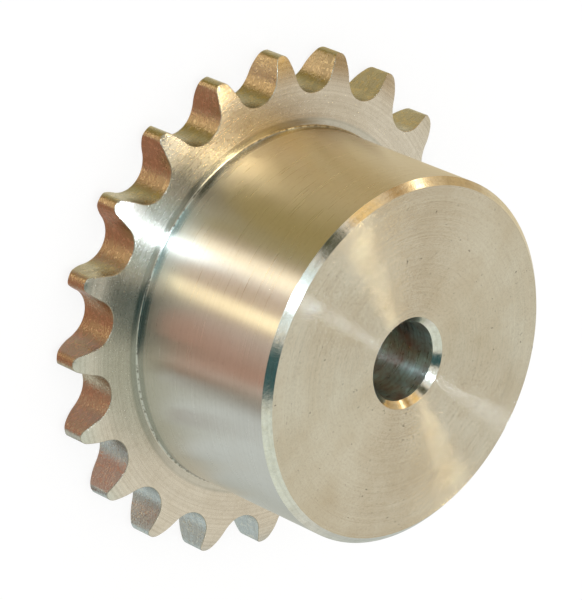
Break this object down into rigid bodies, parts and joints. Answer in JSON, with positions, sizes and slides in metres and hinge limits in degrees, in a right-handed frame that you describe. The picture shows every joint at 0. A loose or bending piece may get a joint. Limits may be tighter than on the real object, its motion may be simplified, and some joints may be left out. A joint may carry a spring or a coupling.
{
  "type": "chain sprocket",
  "caption": "Toothed wheel for a roller chain, with a round hub standing out on one side and a plain pilot bore through both.",
  "frame": {"origin": "centre of the bore at the plate's flat back face, which is also where it rests", "axes": "+Z along the bore axis, from the toothed plate towards the hub's nose; +X through the middle of one tooth gap"},
  "size_m": [0.0636, 0.0636, 0.028],
  "materials": {
    "steel": "bare turned steel with a warm tint"
  },
  "bodies": {
    "root": {"sprocket": "steel"}
  },
  "joints": []
}
